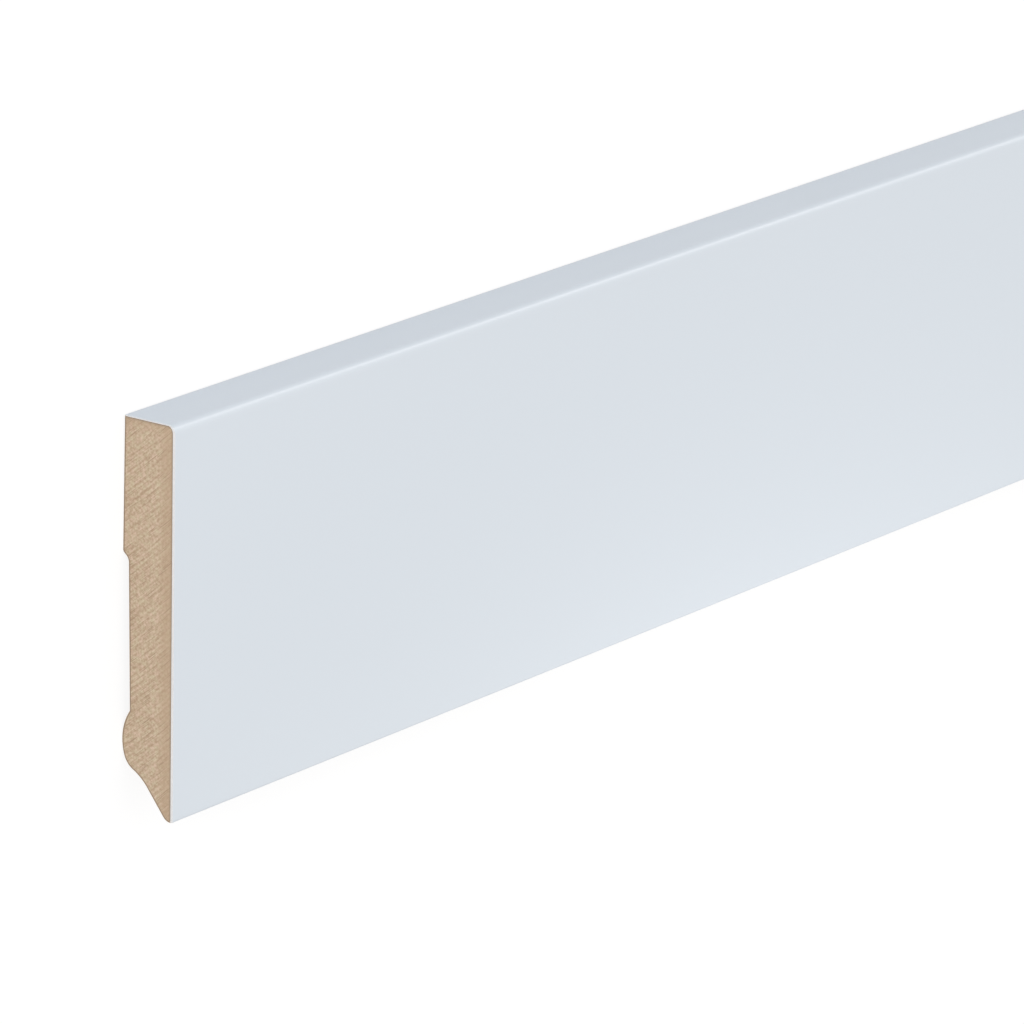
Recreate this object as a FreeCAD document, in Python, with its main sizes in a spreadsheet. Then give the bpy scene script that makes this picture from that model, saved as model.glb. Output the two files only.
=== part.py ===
import FreeCAD, Part
import math
import os

import Sketcher

# A length of white-coated fibreboard skirting, stored lying on its back with the white face up.
# X runs along the length, +Y is the board's top edge, -Y its toe, and Z is the thickness.
# Z = 0 is the wall line. The moulded back touches it along two ridges: the foot of the upper land and
# the crest of the heel. The origin is on that line, half way along the board and half way up it.

SIZES = {
    # the stock
    "board_length": 2400.0,
    "board_height": 95.0,
    "board_thickness": 15.0,
    # rounds along the white face, at the top edge and at the toe
    "top_arris_radius": 2.0,
    "toe_arris_radius": 0.6,
    # upper land of the back: it reaches down from the top edge and leans off the wall at the top
    "land_width": 32.0,
    "land_setback_at_top": 0.35,
    # step from the foot of the land into the relief
    "step_outer_radius": 1.0,
    "step_inner_radius": 2.2,
    "step_slope_degrees": 50.0,
    # floor of the shallow relief, between the step and the heel
    "relief_depth_at_step": 1.7,
    "relief_depth_at_heel": 2.2,
    # heel: a broad crest at a height above the toe, which turns into a tighter nose just below it
    "heel_crest_height": 17.5,
    "heel_crest_radius": 12.5,
    "heel_nose_drop": 2.3,
    "heel_nose_radius": 5.2,
    # the nose stands proud of the slope to the toe, and a hollow joins the two
    "heel_nose_projection": 1.6,
    "cove_radius": 13.5,
    "toe_radius": 2.8,
}

# where a constraint takes hold of a line or arc, and the section's own origin
START, END, CENTRE = range(1, 4)
ORIGIN = (-1, START)


def place(up_the_board, off_the_wall):
    return FreeCAD.Vector(up_the_board, off_the_wall, 0)


def turned(angle):
    return FreeCAD.Vector(math.cos(angle), math.sin(angle), 0)


def on_circle(centre, radius, towards):
    """The point of a circle that faces another point."""
    return centre + turned(math.atan2(towards.y - centre.y, towards.x - centre.x)) * radius


def square_to_shared_tangent(centre_a, radius_a, centre_b, radius_b):
    """Direction, towards the wall, that is square to the line which touches both circles there."""
    span = centre_b - centre_a
    opening = math.acos((radius_a - radius_b) / span.Length)
    return turned(math.atan2(span.y, span.x) - opening)


def section_places(size):
    """Centres and end points of the lines and arcs of the section, from its sizes."""
    top = size["board_height"] / 2
    toe_line = -top
    face = size["board_thickness"]
    spot = {}

    toe = size["toe_radius"]
    toe_arris = size["toe_arris_radius"]
    spot["toe tip"] = place(toe_line, face - toe_arris)
    spot["toe centre"] = place(toe_line + toe, face - toe_arris)
    spot["toe arris centre"] = place(toe_line + toe_arris, face - toe_arris)
    spot["face foot"] = place(toe_line + toe_arris, face)

    top_arris = size["top_arris_radius"]
    spot["top arris centre"] = place(top - top_arris, face - top_arris)
    spot["face head"] = place(top - top_arris, face)
    spot["edge front"] = place(top, face - top_arris)
    spot["edge back"] = place(top, size["land_setback_at_top"])

    crest = size["heel_crest_radius"]
    nose = size["heel_nose_radius"]
    drop = size["heel_nose_drop"]
    spot["crest centre"] = place(toe_line + size["heel_crest_height"], crest)
    spot["nose centre"] = spot["crest centre"] - place(drop, math.sqrt((crest - nose) ** 2 - drop ** 2))
    spot["crest to nose"] = on_circle(spot["nose centre"], -nose, spot["crest centre"])

    cove = size["cove_radius"]
    sunk = nose - size["heel_nose_projection"]
    outwards = square_to_shared_tangent(spot["toe centre"], toe, spot["nose centre"], sunk)
    down_slope = place(outwards.y, -outwards.x)
    run = math.sqrt((cove + nose) ** 2 - (cove + sunk) ** 2)
    spot["cove centre"] = spot["nose centre"] + outwards * (cove + sunk) + down_slope * run
    spot["nose to cove"] = on_circle(spot["nose centre"], nose, spot["cove centre"])
    spot["cove to slope"] = spot["cove centre"] - outwards * cove
    spot["slope to toe"] = spot["toe centre"] + outwards * toe

    deep = size["relief_depth_at_heel"]
    shallow = size["relief_depth_at_step"]
    half_chord = math.sqrt(crest ** 2 - (crest - deep) ** 2)
    spot["relief at heel"] = spot["crest centre"] + place(half_chord, deep - crest)

    outer = size["step_outer_radius"]
    inner = size["step_inner_radius"]
    lean = math.radians(size["step_slope_degrees"])
    square_to_step = turned(math.pi / 2 - lean)
    spot["step outer centre"] = place(top - size["land_width"], outer)
    spot["land foot"] = spot["step outer centre"] - place(0, outer)
    spot["step foot"] = spot["step outer centre"] - square_to_step * outer
    rise = shallow - (outer + inner) * (1 - math.cos(lean))
    spot["step head"] = spot["step foot"] + place(-rise / math.tan(lean), rise)
    spot["step inner centre"] = spot["step head"] - square_to_step * inner
    spot["relief at step"] = spot["step inner centre"] + place(0, inner)
    return spot


def draw_section(sketch, size):
    """The closed outline, drawn anticlockwise from the toe tip. Returns each piece's number by name."""
    spot = section_places(size)
    number = {}

    def line(name, start, end):
        number[name] = sketch.addGeometry(Part.LineSegment(spot[start], spot[end]), False)

    def arc(name, centre, start, end):
        first = spot[start] - spot[centre]
        last = spot[end] - spot[centre]
        circle = Part.Circle(spot[centre], FreeCAD.Vector(0, 0, 1), first.Length)
        angles = (math.atan2(first.y, first.x), math.atan2(last.y, last.x))
        number[name] = sketch.addGeometry(Part.ArcOfCircle(circle, *angles), False)

    arc("toe", "toe centre", "toe tip", "slope to toe")
    line("toe slope", "slope to toe", "cove to slope")
    arc("cove", "cove centre", "nose to cove", "cove to slope")
    arc("nose", "nose centre", "nose to cove", "crest to nose")
    arc("crest", "crest centre", "crest to nose", "relief at heel")
    line("relief", "relief at heel", "relief at step")
    arc("step inner", "step inner centre", "step head", "relief at step")
    line("step slope", "step head", "step foot")
    arc("step outer", "step outer centre", "step foot", "land foot")
    line("land", "land foot", "edge back")
    line("top edge", "edge back", "edge front")
    arc("top arris", "top arris centre", "edge front", "face head")
    line("face", "face head", "face foot")
    arc("toe arris", "toe arris centre", "face foot", "toe tip")
    return number


def join_section(sketch, number):
    """Every piece runs smoothly into the next, apart from the two sharp corners of the back."""
    smooth = [
        ("toe", END, "toe slope", START),
        ("toe slope", END, "cove", END),
        ("cove", START, "nose", START),
        ("nose", END, "crest", START),
        ("relief", END, "step inner", END),
        ("step inner", START, "step slope", START),
        ("step slope", END, "step outer", START),
        ("step outer", END, "land", START),
        ("top edge", END, "top arris", START),
        ("top arris", END, "face", START),
        ("face", END, "toe arris", START),
        ("toe arris", END, "toe", START),
    ]
    sharp = [
        ("crest", END, "relief", START),
        ("land", END, "top edge", START),
    ]
    for first, first_end, second, second_end in smooth:
        sketch.addConstraint(
            Sketcher.Constraint("Tangent", number[first], first_end, number[second], second_end)
        )
    for first, first_end, second, second_end in sharp:
        sketch.addConstraint(
            Sketcher.Constraint("Coincident", number[first], first_end, number[second], second_end)
        )
    sketch.addConstraint(Sketcher.Constraint("Horizontal", number["face"]))
    sketch.addConstraint(Sketcher.Constraint("Vertical", number["top edge"]))
    # the toe arris ends square to the floor, so that the toe's lowest line is its tip
    sketch.addConstraint(
        Sketcher.Constraint("Horizontal", number["toe arris"], CENTRE, number["toe arris"], END)
    )


def dimension_section(sketch, number, size):
    """Names each driving dimension after its size and ties it to the table of sizes."""
    toe_tip = (number["toe"], START)
    edge_back = (number["top edge"], START)
    crest_centre = (number["crest"], CENTRE)
    nose_centre = (number["nose"], CENTRE)
    outer_centre = (number["step outer"], CENTRE)

    def bind(name, constraint, formula):
        sketch.renameConstraint(sketch.addConstraint(constraint), name)
        sketch.setExpression("Constraints." + name, formula)

    def distance(name, kind, start, end, amount, formula):
        bind(name, Sketcher.Constraint(kind, *start, *end, amount), formula)

    def radius(name, piece):
        bind(name, Sketcher.Constraint("Radius", number[piece], size[name]), "Sizes." + name)

    half_height = size["board_height"] / 2
    half_formula = "Sizes.board_height / 2"
    distance("origin_to_top", "DistanceX", ORIGIN, edge_back, half_height, half_formula)
    distance("toe_to_origin", "DistanceX", toe_tip, ORIGIN, half_height, half_formula)

    for name, kind, start, end in (
        ("board_thickness", "DistanceY", ORIGIN, (number["face"], START)),
        ("land_setback_at_top", "DistanceY", ORIGIN, edge_back),
        ("land_width", "DistanceX", outer_centre, edge_back),
        ("relief_depth_at_step", "DistanceY", ORIGIN, (number["relief"], END)),
        ("relief_depth_at_heel", "DistanceY", ORIGIN, (number["relief"], START)),
        ("heel_crest_height", "DistanceX", toe_tip, crest_centre),
        ("heel_nose_drop", "DistanceX", nose_centre, crest_centre),
    ):
        distance(name, kind, start, end, size[name], "Sizes." + name)

    radius("top_arris_radius", "top arris")
    radius("toe_arris_radius", "toe arris")
    radius("step_outer_radius", "step outer")
    radius("step_inner_radius", "step inner")
    radius("heel_crest_radius", "crest")
    radius("heel_nose_radius", "nose")
    radius("cove_radius", "cove")
    radius("toe_radius", "toe")

    # both ridges of the back touch the wall line, so their centres stand off it by their own radius
    for name, centre, reach in (
        ("foot_on_wall_line", outer_centre, "step_outer_radius"),
        ("crest_on_wall_line", crest_centre, "heel_crest_radius"),
    ):
        distance(name, "DistanceY", ORIGIN, centre, size[reach], "Sizes." + reach)

    # the slope to the toe passes the nose's centre closer than its radius, by the nose's projection
    sunk = size["heel_nose_radius"] - size["heel_nose_projection"]
    projection = Sketcher.Constraint("Distance", *nose_centre, number["toe slope"], sunk)
    bind("heel_nose_projection", projection, "Sizes.heel_nose_radius - Sizes.heel_nose_projection")

    lean = -math.radians(size["step_slope_degrees"])
    step_slope = Sketcher.Constraint("Angle", number["step slope"], lean)
    bind("step_slope_degrees", step_slope, "-Sizes.step_slope_degrees * 1 deg")


def make_sheet(document):
    """The table of sizes that the section and the length are tied to, and its values by name."""
    sheet = document.addObject("Spreadsheet::Sheet", "Sizes")
    for row, (name, value) in enumerate(SIZES.items(), start=1):
        sheet.set("A%d" % row, name)
        sheet.set("B%d" % row, str(value))
        sheet.setAlias("B%d" % row, name)
    document.recompute()
    return {name: sheet.get(name) for name in SIZES}


def make_board(document, size):
    """One piece of moulded stock: the section, run along the length to equal ends."""
    body = document.addObject("PartDesign::Body", "Board")
    body.Label = "skirting_board"

    section = body.newObject("Sketcher::SketchObject", "MouldedSection")
    across = next(plane for plane in body.Origin.OriginFeatures if plane.Role == "YZ_Plane")
    section.AttachmentSupport = [(across, "")]
    section.MapMode = "FlatFace"
    number = draw_section(section, size)
    join_section(section, number)
    dimension_section(section, number, size)
    document.recompute()

    stock = body.newObject("PartDesign::Pad", "StockLength")
    stock.Profile = section
    stock.SideType = "Symmetric"
    stock.setExpression("Length", "Sizes.board_length")
    body.Tip = stock
    body.Placement = FreeCAD.Placement()
    document.recompute()

    if not section.FullyConstrained:
        raise RuntimeError("the section is not fully held by its dimensions")
    expected = Part.Face(section.Shape).Area * size["board_length"]
    if not math.isclose(body.Shape.Volume, expected, rel_tol=1e-6):
        raise RuntimeError("the board's volume is not its section times its length")
    return body


def check_document(document):
    for item in document.Objects:
        if "Invalid" in item.State or "Error" in item.State:
            raise RuntimeError("%s failed: %s" % (item.Label, item.State))


def main():
    document = FreeCAD.newDocument("SkirtingBoard")
    size = make_sheet(document)
    board = make_board(document, size)
    document.recompute()
    check_document(document)
    if board.Shape.isNull() or not board.Shape.isValid():
        raise RuntimeError("%s has no valid shape" % board.Label)
    os.makedirs("parts", exist_ok=True)
    board.Shape.exportStep("parts/%s.step" % board.Label)
    print("%s: %.1f cubic millimetres, %s" % (board.Label, board.Shape.Volume, board.Shape.BoundBox))


main()
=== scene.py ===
import math

import bmesh
import bpy
from mathutils import Matrix, Vector


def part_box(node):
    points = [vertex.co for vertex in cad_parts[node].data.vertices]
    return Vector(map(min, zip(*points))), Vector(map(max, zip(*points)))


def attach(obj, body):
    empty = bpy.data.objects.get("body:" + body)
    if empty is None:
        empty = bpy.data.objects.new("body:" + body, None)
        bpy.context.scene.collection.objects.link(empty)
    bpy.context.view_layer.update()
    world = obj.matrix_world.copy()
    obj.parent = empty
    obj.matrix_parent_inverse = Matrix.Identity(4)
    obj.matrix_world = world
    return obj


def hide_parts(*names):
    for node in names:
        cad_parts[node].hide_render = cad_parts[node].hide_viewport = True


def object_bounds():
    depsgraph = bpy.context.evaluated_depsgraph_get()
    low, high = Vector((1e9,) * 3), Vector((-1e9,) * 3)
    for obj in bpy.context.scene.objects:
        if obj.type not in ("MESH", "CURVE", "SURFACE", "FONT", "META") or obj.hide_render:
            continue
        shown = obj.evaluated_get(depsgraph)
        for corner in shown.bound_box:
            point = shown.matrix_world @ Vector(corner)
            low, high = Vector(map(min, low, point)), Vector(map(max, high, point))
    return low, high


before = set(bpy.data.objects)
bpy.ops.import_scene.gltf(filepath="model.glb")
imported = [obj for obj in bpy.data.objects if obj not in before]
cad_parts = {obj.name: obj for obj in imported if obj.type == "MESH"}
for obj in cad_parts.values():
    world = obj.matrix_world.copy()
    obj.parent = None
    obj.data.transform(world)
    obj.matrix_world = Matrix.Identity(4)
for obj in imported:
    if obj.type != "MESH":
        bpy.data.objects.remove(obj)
cad_low, cad_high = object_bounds()

# A length of white-coated fibreboard skirting, lying on its moulded back with the white face up.
# X runs along the board, +Y is its top edge, -Y its toe, and Z = 0 is the wall line of the back.

MM = 0.001
STOCK = "skirting_board"

# The board's own section. Its height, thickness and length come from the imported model.
TOP_ARRIS = 2.0 * MM
TOE_ARRIS = 0.6 * MM
TOE_ROUND = 2.8 * MM
LAND_WIDTH = 32.0 * MM
LAND_SETBACK = 0.35 * MM
STEP_OUTER = 1.0 * MM
STEP_INNER = 2.2 * MM
STEP_LEAN = math.radians(50)
RELIEF_AT_STEP = 1.7 * MM
RELIEF_AT_HEEL = 2.2 * MM
CREST_HEIGHT = 17.5 * MM
CREST_ROUND = 12.5 * MM
NOSE_DROP = 2.3 * MM
NOSE_ROUND = 5.2 * MM
NOSE_PROJECTION = 1.6 * MM
COVE_ROUND = 13.5 * MM

# How the section's rounds and flats are divided, the steps along the length, and the sharpest turn that is
# still shaded as a round. Points closer together than the weld are made one.
ARC_STEP = 0.22 * MM
FEWEST_ARC_STEPS = 3
FLAT_MARGIN = 0.6 * MM
WELD = 0.001 * MM
LENGTH_STEPS = 12
SMOOTH_UNDER = math.radians(25)

# The sawn ends, from the outside in: a hair of broken edge, the cut edge of the coat, and the seam where the
# fibre starts. The coat is thick on the face, and thins to its thickness on the top edge over these heights
# of the two rounds. The seam is dark over the given share of its width. Beside the coat a little way of the
# fibre is primed, and the given share of it looks bare.
BROKEN_EDGE = 0.18 * MM
BROKEN_DEPTH = 0.06 * MM
EDGE_COAT = 0.08 * MM
FACE_COAT = 0.45 * MM
TOP_COAT_THINS = 2.2 * MM
TOE_COAT_THINS = 1.1 * MM
SEAM = 0.18 * MM
SEAM_DARK = 0.6
PRIMED = 0.7 * MM
PRIMED_BARE = 0.35

# Tooth marks of a 300 mm circular saw that was pushed up the board: arcs of the blade's radius, all alike,
# one pitch apart. They cross the middle of the thickness at this angle to it, and waver a little.
BLADE_RADIUS = 150 * MM
MARK_ANGLE = math.radians(39.5)
MARK_PITCH = 1.2 * MM
MARK_DEPTH = 0.03 * MM
WAVER_EVERY = 8.0 * MM
WAVER_WIDTH = 0.5 * MM

# Strips of fibre that carry the marks' relief, across the marks and along them, and how near to a cut a
# point may lie and count as on it.
SLICE_ACROSS = 0.19 * MM
SLICE_ALONG = 1.0 * MM
ON_THE_CUT = 0.0001 * MM

# The fibre between the marks: streaks that the teeth smeared, and the odd torn line, as half a cycle of
# each across the marks and along them. The grain is drawn coarser than real, because single fibres are
# about 0.05 mm wide and wouldn't show. Its patches turn from rosy to straw between these two levels.
STREAK = (0.35 * MM, 10.0 * MM)
TEAR = (0.22 * MM, 6.5 * MM)
FIBRE_GRAIN = 0.63 * MM
FIBRE_BUMP = 0.03 * MM
FIBRE_PATCH = 1.6 * MM
ROSY_UNDER = 0.38
STRAW_OVER = 0.62

# How far the pitch, the tears and the grain show in the height of the fibre, beside the streaks' 1, which
# part of the deepest noise is torn, and which heights are the darkest and the palest fibre.
PITCH_SHOWS = 0.085
TEARS_SHOW = 0.25
GRAIN_SHOWS = 1.85
TORN_FROM = 0.60
TORN_TO = 0.74
DARK_FIBRE = 1.05
PALE_FIBRE = 1.75

# The panel is pressed denser near its face than in its core, and the fibre takes the same tone in a band
# along its top edge. The warmer, plainer tone of both covers this share of the fibre's own.
DENSE_SKIN = 3.8 * MM
DENSE_FADE = 2.4 * MM
TOP_BAND_WIDTH = 3.4 * MM
DENSE_AND_TOP_TONE = 0.62

# Waves that the moulder's cutters leave across the back: their pitch, how slowly and by how many radians
# they drift, how far they show beside the specks' 1, and which heights are the darkest and the palest.
CUTTER_PITCH = 1.8 * MM
CUTTER_DRIFT = 40 * MM
DRIFT_TURN = 4.0
CUTTER_SHOWS = 0.08
DARK_BACK = 0.3
PALE_BACK = 0.75

# The coat: its orange peel, the slow patches of its sheen, how rough the glossiest and the dullest are, and
# the ragged stretches of its sawn edge.
PEEL = 2.2 * MM
PEEL_DEPTH = 0.006 * MM
SHEEN_PATCH = 50 * MM
GLOSSIEST = 0.33
DULLEST = 0.41
CUT_GRAIN = 0.8 * MM

# The board's finishes, in the order of its material slots.
COAT = 0
COAT_EDGE = 1
SAWN = 2
MOULDED = 3

# The limits of a normal by which the faces are told apart. By its X: square to the length, or running along
# it. By its Z: looking up at all. By its Y: looking mostly towards the top edge.
SQUARE_CUT = 0.99
RUNS_ALONG = 0.1
LOOKS_UP = 0.01
LOOKS_TOPWARDS = 0.6

WHITE = "#E2E9F0"
CUT_COAT_DULL = "#D0CECC"
CUT_COAT_PALE = "#E2E0DE"
FIBRE_SHADE = "#AD9379"
FIBRE_ROSY = "#CFB69F"
FIBRE_STRAW = "#CABA9D"
FIBRE_DENSE_AND_TOP = "#B59B80"
FIBRE_TORN = "#A0876F"
FIBRE_SEALED = "#8E7C6A"
MOULDED_SHADE = "#AF9579"
MOULDED_PALE = "#CBB296"
FLOOR_PAPER = "#C4CAD2"

# A Mix node's two colour inputs, which have the same names as its number and vector inputs.
COLOUR_A = 6
COLOUR_B = 7


def linear(hex_colour):
    """An sRGB hex colour as the linear RGBA that Blender's sockets take."""
    channels = [int(hex_colour[i:i + 2], 16) / 255 for i in (1, 3, 5)]
    return [c / 12.92 if c <= 0.04045 else ((c + 0.055) / 1.055) ** 2.4 for c in channels] + [1.0]


def add_node(tree, kind, inputs=(), **settings):
    """Adds a node. Each input is given a constant, another node's output, or a node for its first output."""
    node = tree.nodes.new(kind)
    for name, value in settings.items():
        setattr(node, name, value)
    for name, value in dict(inputs).items():
        if isinstance(value, bpy.types.Node):
            value = next(output for output in value.outputs if output.enabled)
        if isinstance(value, bpy.types.NodeSocket):
            tree.links.new(value, node.inputs[name])
        else:
            node.inputs[name].default_value = value
    return node


def new_material(name):
    material = bpy.data.materials.new(name)
    material.use_nodes = True
    material.node_tree.nodes.clear()
    return material, material.node_tree


# The section


def section_places(x, low, high):
    """Centres and ends of the section's arcs and lines, at one place along the board."""

    def place(up, off):
        return Vector((x, up, off))

    def turned(angle):
        return Vector((0, math.cos(angle), math.sin(angle)))

    top = high.y
    toe = low.y
    face = high.z
    spot = {}
    spot["toe tip"] = place(toe, face - TOE_ARRIS)
    spot["toe centre"] = place(toe + TOE_ROUND, face - TOE_ARRIS)
    spot["toe arris centre"] = place(toe + TOE_ARRIS, face - TOE_ARRIS)
    spot["face foot"] = place(toe + TOE_ARRIS, face)
    spot["top arris centre"] = place(top - TOP_ARRIS, face - TOP_ARRIS)
    spot["face head"] = place(top - TOP_ARRIS, face)
    spot["edge front"] = place(top, face - TOP_ARRIS)
    spot["edge back"] = place(top, LAND_SETBACK)

    # heel: the nose lies inside the crest's circle and touches it, and the cove touches the nose
    nose_rise = math.sqrt((CREST_ROUND - NOSE_ROUND) ** 2 - NOSE_DROP ** 2)
    spot["crest centre"] = place(toe + CREST_HEIGHT, CREST_ROUND)
    spot["nose centre"] = spot["crest centre"] - Vector((0, NOSE_DROP, nose_rise))
    to_nose = (spot["nose centre"] - spot["crest centre"]).normalized()
    spot["crest to nose"] = spot["crest centre"] + to_nose * CREST_ROUND
    half_chord = math.sqrt(CREST_ROUND ** 2 - (CREST_ROUND - RELIEF_AT_HEEL) ** 2)
    spot["relief at heel"] = place(spot["crest centre"].y + half_chord, RELIEF_AT_HEEL)

    # the toe's slope passes the nose's centre closer than its radius, and the cove joins the two
    sunk = NOSE_ROUND - NOSE_PROJECTION
    span = spot["nose centre"] - spot["toe centre"]
    opening = math.acos((TOE_ROUND - sunk) / span.length)
    outwards = turned(math.atan2(span.z, span.y) - opening)
    down_slope = Vector((0, outwards.z, -outwards.y))
    run = math.sqrt((COVE_ROUND + NOSE_ROUND) ** 2 - (COVE_ROUND + sunk) ** 2)
    spot["cove centre"] = spot["nose centre"] + outwards * (COVE_ROUND + sunk) + down_slope * run
    to_cove = (spot["cove centre"] - spot["nose centre"]).normalized()
    spot["nose to cove"] = spot["nose centre"] + to_cove * NOSE_ROUND
    spot["cove to slope"] = spot["cove centre"] - outwards * COVE_ROUND
    spot["slope to toe"] = spot["toe centre"] + outwards * TOE_ROUND

    # step from the land's foot into the relief
    square_to_step = turned(math.pi / 2 - STEP_LEAN)
    rise = RELIEF_AT_STEP - (STEP_OUTER + STEP_INNER) * (1 - math.cos(STEP_LEAN))
    spot["step outer centre"] = place(top - LAND_WIDTH, STEP_OUTER)
    spot["land foot"] = place(top - LAND_WIDTH, 0)
    spot["step foot"] = spot["step outer centre"] - square_to_step * STEP_OUTER
    spot["step head"] = spot["step foot"] + Vector((0, -rise / math.tan(STEP_LEAN), rise))
    spot["step inner centre"] = spot["step head"] - square_to_step * STEP_INNER
    spot["relief at step"] = spot["step inner centre"] + Vector((0, 0, STEP_INNER))
    return spot


class Pen:
    """Draws with one selected vertex: straight stretches are extruded and round ones are spun."""

    def __init__(self, spot, start):
        self.spot = spot
        self.here = spot[start]
        bpy.ops.mesh.primitive_plane_add(size=MM, location=self.here)
        bpy.ops.object.transform_apply(location=True)
        bpy.ops.object.mode_set(mode="EDIT")
        bpy.ops.mesh.select_mode(type="VERT")
        bpy.ops.mesh.select_all(action="SELECT")
        bpy.ops.mesh.merge(type="CENTER")

    def line(self, name):
        """A flat, with a narrow strip at each end so that it shades flat beside a round."""
        there = self.spot[name]
        along = there - self.here
        margin = along.normalized() * min(FLAT_MARGIN, along.length / 4)
        for move in (margin, along - 2 * margin, margin):
            bpy.ops.mesh.extrude_vertices_move(TRANSFORM_OT_translate={"value": move})
        self.here = there

    def arc(self, centre_name, name):
        centre = self.spot[centre_name]
        there = self.spot[name]
        first = self.here - centre
        last = there - centre
        turn = math.atan2(first.cross(last).x, first.dot(last))
        steps = max(FEWEST_ARC_STEPS, round(abs(turn) * first.length / ARC_STEP))
        bpy.ops.mesh.spin(steps=steps, angle=-turn, center=centre, axis=(1, 0, 0))
        self.here = there


def draw_section(x, low, high):
    """Round the section from the toe: up the back, over the top edge and down the white face."""
    pen = Pen(section_places(x, low, high), "toe tip")
    pen.arc("toe centre", "slope to toe")
    pen.line("cove to slope")
    pen.arc("cove centre", "nose to cove")
    pen.arc("nose centre", "crest to nose")
    pen.arc("crest centre", "relief at heel")
    pen.line("relief at step")
    pen.arc("step inner centre", "step head")
    pen.line("step foot")
    pen.arc("step outer centre", "land foot")
    pen.line("edge back")
    pen.line("edge front")
    pen.arc("top arris centre", "face head")
    pen.line("face foot")
    pen.arc("toe arris centre", "toe tip")
    bpy.ops.mesh.select_all(action="SELECT")
    bpy.ops.mesh.remove_doubles(threshold=WELD)
    bpy.ops.mesh.edge_face_add()


# The sawn ends


def pick_end(board, direction):
    """Selects the end face that looks along -X or +X, and nothing else."""
    bpy.ops.mesh.select_mode(type="FACE")
    bpy.ops.mesh.select_all(action="DESELECT")
    shape = bmesh.from_edit_mesh(board.data)
    shape.normal_update()
    for face in shape.faces:
        face.select_set(face.normal.x * direction > SQUARE_CUT)
    bmesh.update_edit_mesh(board.data)


def thicken_face_coat(board):
    """Draws the selected fibre back from the white face, by less and less round the two arrises."""
    under_face = cad_high.z - BROKEN_EDGE - EDGE_COAT
    shape = bmesh.from_edit_mesh(board.data)
    for corner in [corner for corner in shape.verts if corner.select]:
        thins = TOP_COAT_THINS if corner.co.y > 0 else TOE_COAT_THINS
        share = 1 - (under_face - corner.co.z) / thins
        corner.co.z -= max(0, share) * (FACE_COAT - EDGE_COAT)
    bmesh.update_edit_mesh(board.data)


def saw_end(board, direction):
    """One sawn end: its broken edge, the ring of cut coat, the seam and the fibre inside it."""
    pick_end(board, direction)
    bpy.ops.mesh.inset(thickness=BROKEN_EDGE, depth=BROKEN_DEPTH, use_even_offset=True)
    bpy.ops.mesh.inset(thickness=EDGE_COAT, depth=0, use_even_offset=True)
    board.active_material_index = SAWN
    bpy.ops.object.material_slot_assign()
    thicken_face_coat(board)
    bpy.ops.mesh.inset(thickness=SEAM, depth=0, use_even_offset=True)
    bpy.ops.object.vertex_group_assign()


def slice_fibre(board, low, high):
    """Cuts the sawn faces into strips that lie along the tooth marks, narrow enough to carry them."""
    along = Vector((0, math.sin(MARK_ANGLE), math.cos(MARK_ANGLE)))
    across = Vector((0, math.cos(MARK_ANGLE), -math.sin(MARK_ANGLE)))
    middle = (low + high) / 2
    size = high - low
    bpy.ops.mesh.select_mode(type="VERT")
    for direction, spacing in ((along, SLICE_ALONG), (across, SLICE_ACROSS)):
        reach = (size.y * abs(direction.y) + size.z * abs(direction.z)) / 2
        count = math.ceil(reach / spacing)
        for i in range(-count, count + 1):
            bpy.ops.mesh.select_all(action="DESELECT")
            bpy.ops.object.vertex_group_select()
            bpy.ops.mesh.bisect(plane_co=middle + direction * spacing * i, plane_no=direction,
                                threshold=ON_THE_CUT)


def is_coated(face):
    """The coat covers the white face, the top edge and both arrises. The back is left raw."""
    facing = Vector((0, face.normal.y, face.normal.z)).normalized()
    return facing.z > LOOKS_UP or facing.y > LOOKS_TOPWARDS


def is_square_cut(face):
    """Faces of the sawn ends lie square to the length, apart from the broken edge."""
    return abs(face.normal.x) > SQUARE_CUT


def sort_finishes(board):
    """Coat on the outside, cut coat on the two rings beside it, and raw moulded fibre on the back."""
    shape = bmesh.from_edit_mesh(board.data)
    shape.normal_update()
    unsawn = [face for face in shape.faces if face.material_index != SAWN]
    for face in unsawn:
        coat = COAT if abs(face.normal.x) < RUNS_ALONG else COAT_EDGE
        face.material_index = coat if is_coated(face) else MOULDED
    for face in filter(is_square_cut, unsawn):
        beside = [other for edge in face.edges for other in edge.link_faces if not is_square_cut(other)]
        coated = any(other.material_index == COAT_EDGE for other in beside)
        face.material_index = COAT_EDGE if coated else SAWN
    bmesh.update_edit_mesh(board.data)


# Patterns of the sawn fibre


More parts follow.
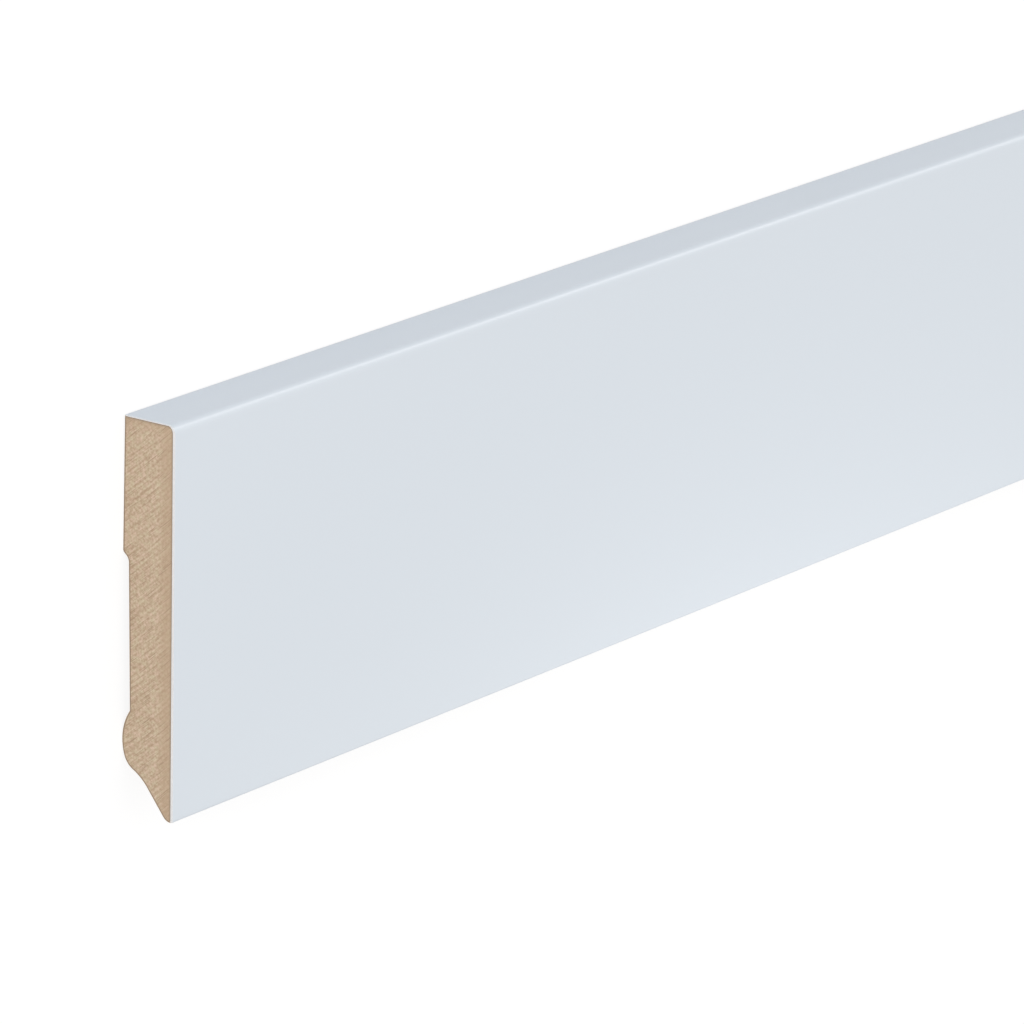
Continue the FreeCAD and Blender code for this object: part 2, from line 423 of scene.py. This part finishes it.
def blade_path(tree, position):
    """The place on a sawn end in millimetres, how far it lies across the tooth marks, and the place laid out
    across the marks and along them."""
    in_mm = add_node(tree, "ShaderNodeVectorMath", {0: position, "Scale": 1 / MM}, operation="SCALE")
    at = add_node(tree, "ShaderNodeSeparateXYZ", {0: in_mm})
    radius = BLADE_RADIUS / MM
    centre_depth = (cad_high.z / 2 - BLADE_RADIUS * math.sin(MARK_ANGLE)) / MM
    off_centre = add_node(tree, "ShaderNodeMath", {0: at.outputs["Z"], 1: centre_depth},
                          operation="SUBTRACT")
    squared = add_node(tree, "ShaderNodeMath", {0: off_centre, 1: 2.0}, operation="POWER")
    left = add_node(tree, "ShaderNodeMath", {0: radius ** 2, 1: squared}, operation="SUBTRACT")
    rim = add_node(tree, "ShaderNodeMath", {0: left}, operation="SQRT")
    up_the_board = add_node(tree, "ShaderNodeMath", {0: at.outputs["Y"], 1: rim}, operation="ADD")
    waver = add_node(tree, "ShaderNodeTexNoise", {"Vector": in_mm, "Scale": MM / WAVER_EVERY, "Detail": 2.0})
    wavered = add_node(tree, "ShaderNodeMath", {0: waver, 1: WAVER_WIDTH / MM, 2: up_the_board},
                       operation="MULTIPLY_ADD")
    across = add_node(tree, "ShaderNodeMath", {0: wavered, 1: math.cos(MARK_ANGLE)}, operation="MULTIPLY")
    along = add_node(tree, "ShaderNodeMath", {0: at.outputs["Z"], 1: math.cos(MARK_ANGLE)},
                     operation="DIVIDE")
    laid_out = add_node(tree, "ShaderNodeCombineXYZ", {"X": across, "Y": along, "Z": at.outputs["X"]})
    return in_mm, across, laid_out


def stretched_noise(tree, laid_out, half_cycle, detail):
    """Noise drawn out along the tooth marks."""
    stretch = (MM / half_cycle[0], MM / half_cycle[1], 1.0)
    place = add_node(tree, "ShaderNodeVectorMath", {0: laid_out, 1: stretch}, operation="MULTIPLY")
    return add_node(tree, "ShaderNodeTexNoise", {"Vector": place, "Scale": 1.0, "Detail": detail})


def tooth_marks(tree, position):
    """Height of the sawn fibre, from about 0 to 1, how torn it is, and the place in millimetres."""
    in_mm, across, laid_out = blade_path(tree, position)
    phase = add_node(tree, "ShaderNodeMath", {0: across, 1: 2 * math.pi * MM / MARK_PITCH},
                     operation="MULTIPLY")
    wave = add_node(tree, "ShaderNodeMath", {0: phase}, operation="SINE")
    streaks = stretched_noise(tree, laid_out, STREAK, detail=2.0)
    ridges = add_node(tree, "ShaderNodeMath", {0: wave, 1: PITCH_SHOWS, 2: streaks},
                      operation="MULTIPLY_ADD")
    deepest = stretched_noise(tree, laid_out, TEAR, detail=1.0)
    tears = add_node(tree, "ShaderNodeMapRange",
                     {"Value": deepest, "From Min": TORN_FROM, "From Max": TORN_TO})
    height = add_node(tree, "ShaderNodeMath", {0: tears, 1: -TEARS_SHOW, 2: ridges},
                      operation="MULTIPLY_ADD")
    return height, tears, in_mm


def mark_sawn_ends(board):
    """Lifts the sliced fibre by the tooth marks and keeps how far each point is inside the seam."""
    tree = bpy.data.node_groups.new("tooth_marks", "GeometryNodeTree")
    tree.interface.new_socket("Geometry", in_out="INPUT", socket_type="NodeSocketGeometry")
    tree.interface.new_socket("Geometry", in_out="OUTPUT", socket_type="NodeSocketGeometry")
    came_in = add_node(tree, "NodeGroupInput")
    position = add_node(tree, "GeometryNodeInputPosition")
    normal = add_node(tree, "GeometryNodeInputNormal")
    inside = add_node(tree, "GeometryNodeInputNamedAttribute", {"Name": "sawn"}, data_type="FLOAT")
    height = tooth_marks(tree, position)[0]
    centred = add_node(tree, "ShaderNodeMath", {0: height, 1: 0.5}, operation="SUBTRACT")
    lift = add_node(tree, "ShaderNodeMath", {0: centred, 1: MARK_DEPTH}, operation="MULTIPLY")
    faded = add_node(tree, "ShaderNodeMath", {0: lift, 1: inside}, operation="MULTIPLY")
    offset = add_node(tree, "ShaderNodeVectorMath", {0: normal, "Scale": faded}, operation="SCALE")
    moved = add_node(tree, "GeometryNodeSetPosition", {"Geometry": came_in, "Offset": offset})
    stored = add_node(tree, "GeometryNodeStoreNamedAttribute",
                      {"Geometry": moved, "Name": "inside_seam", "Value": inside},
                      data_type="FLOAT", domain="POINT")
    add_node(tree, "NodeGroupOutput", {0: stored})
    marks = board.modifiers.new("tooth_marks", "NODES")
    marks.node_group = tree
    bpy.ops.object.modifier_apply(modifier=marks.name)


# Materials


def satin_coat():
    """Water-borne acrylic coat, sprayed and cured at the factory.
    It gives a clean cool white with a soft sheen and the faintest orange peel."""
    material, tree = new_material("acrylic_coat_sprayed_satin")
    place = add_node(tree, "ShaderNodeTexCoord").outputs["Object"]
    peel = add_node(tree, "ShaderNodeTexNoise", {"Vector": place, "Scale": 1 / PEEL, "Detail": 2.0})
    bump = add_node(tree, "ShaderNodeBump", {"Height": peel, "Distance": PEEL_DEPTH})
    cloud = add_node(tree, "ShaderNodeTexNoise", {"Vector": place, "Scale": 1 / SHEEN_PATCH, "Detail": 3.0})
    sheen = add_node(tree, "ShaderNodeMapRange", {"Value": cloud, "To Min": GLOSSIEST, "To Max": DULLEST})
    skin = add_node(tree, "ShaderNodeBsdfPrincipled",
                    {"Base Color": linear(WHITE), "Roughness": sheen, "IOR": 1.5, "Normal": bump})
    add_node(tree, "ShaderNodeOutputMaterial", {"Surface": skin})
    return material


def cut_coat():
    """The same coat where the saw went through it: a brighter, rougher edge."""
    material, tree = new_material("acrylic_coat_sawn_edge")
    place = add_node(tree, "ShaderNodeTexCoord").outputs["Object"]
    crumbs = add_node(tree, "ShaderNodeTexNoise", {"Vector": place, "Scale": 1 / CUT_GRAIN, "Detail": 2.0})
    tint = add_node(tree, "ShaderNodeMix", {"Factor": crumbs, COLOUR_A: linear(CUT_COAT_DULL),
                                            COLOUR_B: linear(CUT_COAT_PALE)}, data_type="RGBA")
    skin = add_node(tree, "ShaderNodeBsdfPrincipled", {"Base Color": tint, "Roughness": 0.6, "IOR": 1.5})
    add_node(tree, "ShaderNodeOutputMaterial", {"Surface": skin})
    return material


def panel_tone(tree, place):
    """How far the fibre has the warmer tone: under the face, where it is dense, and in a band along the top
    edge.
    """
    at = add_node(tree, "ShaderNodeSeparateXYZ", {0: place})
    skin_starts = cad_high.z - DENSE_SKIN
    dense = add_node(tree, "ShaderNodeMapRange",
                     {"Value": at.outputs["Z"], "From Min": skin_starts - DENSE_FADE / 2,
                      "From Max": skin_starts + DENSE_FADE / 2})
    # Towards the top edge the fibre turns to the same warmer, plainer tone.
    near_top = add_node(tree, "ShaderNodeMapRange",
                      {"Value": at.outputs["Y"], "From Min": cad_high.y - TOP_BAND_WIDTH,
                       "From Max": cad_high.y})
    either = add_node(tree, "ShaderNodeMath", {0: dense, 1: near_top}, operation="MAXIMUM")
    return add_node(tree, "ShaderNodeMath", {0: either, 1: DENSE_AND_TOP_TONE}, operation="MULTIPLY")


def bare_share(tree, place):
    """1 on bare fibre. It falls at the seam, and on the primed fibre beside the top edge and the face."""
    at = add_node(tree, "ShaderNodeSeparateXYZ", {0: place})
    inside = add_node(tree, "ShaderNodeAttribute", attribute_name="inside_seam").outputs["Fac"]
    bare = add_node(tree, "ShaderNodeMapRange", {"Value": inside, "From Min": SEAM_DARK, "From Max": 1.0})
    top_fibre = cad_high.y - BROKEN_EDGE - EDGE_COAT
    face_fibre = cad_high.z - BROKEN_EDGE - FACE_COAT
    for axis, edge in (("Y", top_fibre), ("Z", face_fibre)):
        primed = add_node(tree, "ShaderNodeMapRange",
                          {"Value": at.outputs[axis], "From Min": edge - PRIMED, "From Max": edge,
                           "To Min": 1.0, "To Max": PRIMED_BARE})
        bare = add_node(tree, "ShaderNodeMath", {0: bare, 1: primed}, operation="MULTIPLY")
    return bare


def sawn_fibre():
    """Medium-density fibreboard, cut with a circular saw.
    Smeared streaks and torn lines lie along the tooth marks, between specks of fibre, and the panel is
    warmer and plainer where it is dense, near its face."""
    material, tree = new_material("mdf_circular_sawn")
    place = add_node(tree, "ShaderNodeTexCoord").outputs["Object"]
    height, tears, in_mm = tooth_marks(tree, place)
    grain = add_node(tree, "ShaderNodeTexNoise",
                     {"Vector": in_mm, "Scale": MM / FIBRE_GRAIN, "Detail": 4.0, "Roughness": 0.57})
    mixed = add_node(tree, "ShaderNodeMath", {0: grain, 1: GRAIN_SHOWS, 2: height}, operation="MULTIPLY_ADD")
    tone = add_node(tree, "ShaderNodeMapRange",
                    {"Value": mixed, "From Min": DARK_FIBRE, "From Max": PALE_FIBRE})
    patch = add_node(tree, "ShaderNodeTexNoise", {"Vector": in_mm, "Scale": MM / FIBRE_PATCH, "Detail": 1.0})
    hue = add_node(tree, "ShaderNodeMapRange",
                   {"Value": patch, "From Min": ROSY_UNDER, "From Max": STRAW_OVER})
    pale = add_node(tree, "ShaderNodeMix", {"Factor": hue, COLOUR_A: linear(FIBRE_ROSY),
                                            COLOUR_B: linear(FIBRE_STRAW)}, data_type="RGBA")
    core = add_node(tree, "ShaderNodeMix", {"Factor": tone, COLOUR_A: linear(FIBRE_SHADE), COLOUR_B: pale},
                    data_type="RGBA")
    layered = add_node(tree, "ShaderNodeMix", {"Factor": panel_tone(tree, place), COLOUR_A: core,
                                               COLOUR_B: linear(FIBRE_DENSE_AND_TOP)}, data_type="RGBA")
    torn = add_node(tree, "ShaderNodeMix", {"Factor": tears, COLOUR_A: layered,
                                            COLOUR_B: linear(FIBRE_TORN)}, data_type="RGBA")
    edged = add_node(tree, "ShaderNodeMix", {"Factor": bare_share(tree, place),
                                             COLOUR_A: linear(FIBRE_SEALED), COLOUR_B: torn},
                     data_type="RGBA")
    bump = add_node(tree, "ShaderNodeBump", {"Height": mixed, "Distance": FIBRE_BUMP})
    skin = add_node(tree, "ShaderNodeBsdfPrincipled",
                    {"Base Color": edged, "Roughness": 0.85, "IOR": 1.45, "Normal": bump})
    add_node(tree, "ShaderNodeOutputMaterial", {"Surface": skin})
    return material


def moulded_fibre():
    """Raw fibreboard, planed to shape in a moulder.
    The cutters leave fine waves across the length and press the fibre to an even tan with pale specks."""
    material, tree = new_material("mdf_moulded_raw")
    place = add_node(tree, "ShaderNodeTexCoord").outputs["Object"]
    in_mm = add_node(tree, "ShaderNodeVectorMath", {0: place, "Scale": 1 / MM}, operation="SCALE")
    at = add_node(tree, "ShaderNodeSeparateXYZ", {0: in_mm})
    drift = add_node(tree, "ShaderNodeTexNoise", {"Vector": in_mm, "Scale": MM / CUTTER_DRIFT})
    turn = add_node(tree, "ShaderNodeMath", {0: at.outputs["X"], 1: 2 * math.pi * MM / CUTTER_PITCH},
                    operation="MULTIPLY")
    drifted = add_node(tree, "ShaderNodeMath", {0: drift, 1: DRIFT_TURN, 2: turn}, operation="MULTIPLY_ADD")
    wave = add_node(tree, "ShaderNodeMath", {0: drifted}, operation="SINE")
    specks = add_node(tree, "ShaderNodeTexNoise",
                      {"Vector": in_mm, "Scale": MM / FIBRE_GRAIN, "Detail": 3.0})
    height = add_node(tree, "ShaderNodeMath", {0: wave, 1: CUTTER_SHOWS, 2: specks},
                      operation="MULTIPLY_ADD")
    tone = add_node(tree, "ShaderNodeMapRange",
                    {"Value": height, "From Min": DARK_BACK, "From Max": PALE_BACK})
    tint = add_node(tree, "ShaderNodeMix", {"Factor": tone, COLOUR_A: linear(MOULDED_SHADE),
                                            COLOUR_B: linear(MOULDED_PALE)}, data_type="RGBA")
    bump = add_node(tree, "ShaderNodeBump", {"Height": height, "Distance": FIBRE_BUMP})
    skin = add_node(tree, "ShaderNodeBsdfPrincipled",
                    {"Base Color": tint, "Roughness": 0.7, "IOR": 1.45, "Normal": bump})
    add_node(tree, "ShaderNodeOutputMaterial", {"Surface": skin})
    return material


# The board


def make_board():
    low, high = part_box(STOCK)
    bpy.ops.object.select_all(action="DESELECT")
    draw_section(low.x + BROKEN_DEPTH, low, high)
    board = bpy.context.object
    board.name = "moulded_board"
    board.data.name = board.name
    board.vertex_groups.new(name="sawn")
    bpy.context.scene.tool_settings.vertex_group_weight = 1.0
    for material in (satin_coat(), cut_coat(), sawn_fibre(), moulded_fibre()):
        board.data.materials.append(material)
    step = (high.x - low.x - 2 * BROKEN_DEPTH) / LENGTH_STEPS
    for _ in range(LENGTH_STEPS):
        bpy.ops.mesh.extrude_region_move(TRANSFORM_OT_translate={"value": (step, 0, 0)})
    bpy.ops.mesh.select_all(action="SELECT")
    bpy.ops.mesh.normals_make_consistent(inside=False)
    saw_end(board, -1)
    saw_end(board, 1)
    sort_finishes(board)
    slice_fibre(board, low, high)
    bpy.ops.object.mode_set(mode="OBJECT")
    mark_sawn_ends(board)
    bpy.ops.object.shade_smooth_by_angle(angle=SMOOTH_UNDER)
    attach(board, "root")
    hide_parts(STOCK)


# Floor, light and camera

STUDIO_SIZE = 60.0
PHOTOGRAPHED_END = Vector((cad_low.x, 0, cad_high.z / 2))
FAR_END = Vector((cad_high.x, 0, cad_high.z / 2))

# What the camera sees of the floor: a little grey that takes the board's shadow, on an even glow.
SHADOW_GREY = (0.22, 0.22, 0.22, 1)
FLOOR_GLOW = 0.84

# The dome's light on the board. The camera sees plain white.
DOME_LEVEL = 0.548


def seen_directly(tree):
    """1 for a ray from the camera, or from a mirror or glass, which then see plain white."""
    path = add_node(tree, "ShaderNodeLightPath")
    glossy = add_node(tree, "ShaderNodeMath", {0: path.outputs["Is Camera Ray"],
                                               1: path.outputs["Is Glossy Ray"]}, operation="ADD")
    return add_node(tree, "ShaderNodeMath", {0: glossy, 1: path.outputs["Is Transmission Ray"]},
                    operation="ADD", use_clamp=True)


def make_floor():
    """Matt paper, which throws soft light up at the board. The camera sees white with a faint shadow."""
    bpy.ops.mesh.primitive_plane_add(size=STUDIO_SIZE)
    floor = bpy.context.object
    floor.name = "floor"
    material, tree = new_material("floor_paper_white")
    paper = add_node(tree, "ShaderNodeBsdfDiffuse", {"Color": linear(FLOOR_PAPER)})
    shadow = add_node(tree, "ShaderNodeBsdfDiffuse", {"Color": SHADOW_GREY})
    glow = add_node(tree, "ShaderNodeEmission", {"Strength": FLOOR_GLOW})
    bright = add_node(tree, "ShaderNodeAddShader", {0: shadow, 1: glow})
    surface = add_node(tree, "ShaderNodeMixShader", {0: seen_directly(tree), 1: paper, 2: bright})
    add_node(tree, "ShaderNodeOutputMaterial", {"Surface": surface})
    floor.data.materials.append(material)


def light_dome():
    world = bpy.data.worlds.new("studio")
    bpy.context.scene.world = world
    world.use_nodes = True
    tree = world.node_tree
    tree.nodes.clear()
    level = add_node(tree, "ShaderNodeMapRange",
                     {"Value": seen_directly(tree), "To Min": DOME_LEVEL, "To Max": 1.0})
    dome = add_node(tree, "ShaderNodeBackground", {"Color": (1, 1, 1, 1), "Strength": level})
    add_node(tree, "ShaderNodeOutputWorld", {"Surface": dome})


def softbox(name, location, target, size, power, mirrored=True):
    """A soft panel of light, aimed at a point. The camera can't see it, and one that isn't mirrored lights
    the board without showing in its sheen."""
    data = bpy.data.lights.new(name, "AREA")
    data.shape = "RECTANGLE"
    data.size, data.size_y = size
    data.energy = power
    lamp = bpy.data.objects.new(name, data)
    bpy.context.scene.collection.objects.link(lamp)
    lamp.location = location
    lamp.rotation_euler = (Vector(target) - Vector(location)).to_track_quat("-Z", "Y").to_euler()
    lamp.visible_camera = False
    lamp.visible_glossy = mirrored


def light_studio():
    """Soft light from above, a fill on each sawn end, two small lamps that draw the line of light along the
    top arris, and a card that lifts the foot of the face."""
    light_dome()
    softbox("overhead", (0, 0, 2.4), target=(0, 0, 0), size=(4.0, 2.0), power=5.9)
    softbox("end_fill", (-3.2, 0.4, 0.8), target=PHOTOGRAPHED_END, size=(1.4, 1.2), power=31.0,
            mirrored=False)
    softbox("far_end_fill", (3.2, 0.4, 0.5), target=FAR_END, size=(1.4, 1.0), power=15.5, mirrored=False)
    softbox("arris_light", (0.77, 1.28, 0.9), target=(-1.05, 0, 0), size=(0.6, 0.35), power=6.83)
    softbox("arris_light_far", (1.04, 0.73, 1.03), target=(-1.0, 0, 0), size=(0.4, 0.3), power=1.91)
    softbox("toe_card", (-0.93, -0.12, 0.09), target=(-0.93, -0.03, 0.01), size=(0.26, 0.05), power=0.03)


# The photograph's camera: a long lens, above the sawn end and turned so that the top edge is up.
CAMERA_AT = Vector((-2.56561, 0.56534, 1.11362))
CAMERA_FORWARD = Vector((0.770409, -0.292937, -0.566266))
CAMERA_ROLL = math.radians(-1.1245)
CAMERA_LENS_MM = 284.22
SENSOR_MM = 36.0


def make_camera():
    data = bpy.data.cameras.new("camera")
    data.lens = CAMERA_LENS_MM
    data.sensor_width = SENSOR_MM
    camera = bpy.data.objects.new("camera", data)
    bpy.context.scene.collection.objects.link(camera)
    right = CAMERA_FORWARD.cross(Vector((0, 1, 0))).normalized()
    up = right.cross(CAMERA_FORWARD)
    upright = Matrix((right, up, -CAMERA_FORWARD)).transposed()
    rolled = Matrix.Rotation(CAMERA_ROLL, 3, CAMERA_FORWARD) @ upright
    camera.matrix_world = Matrix.Translation(CAMERA_AT) @ rolled.to_4x4()
    bpy.context.scene.camera = camera


make_board()
make_floor()
light_studio()
make_camera()
bpy.context.scene.view_settings.view_transform = "Standard"
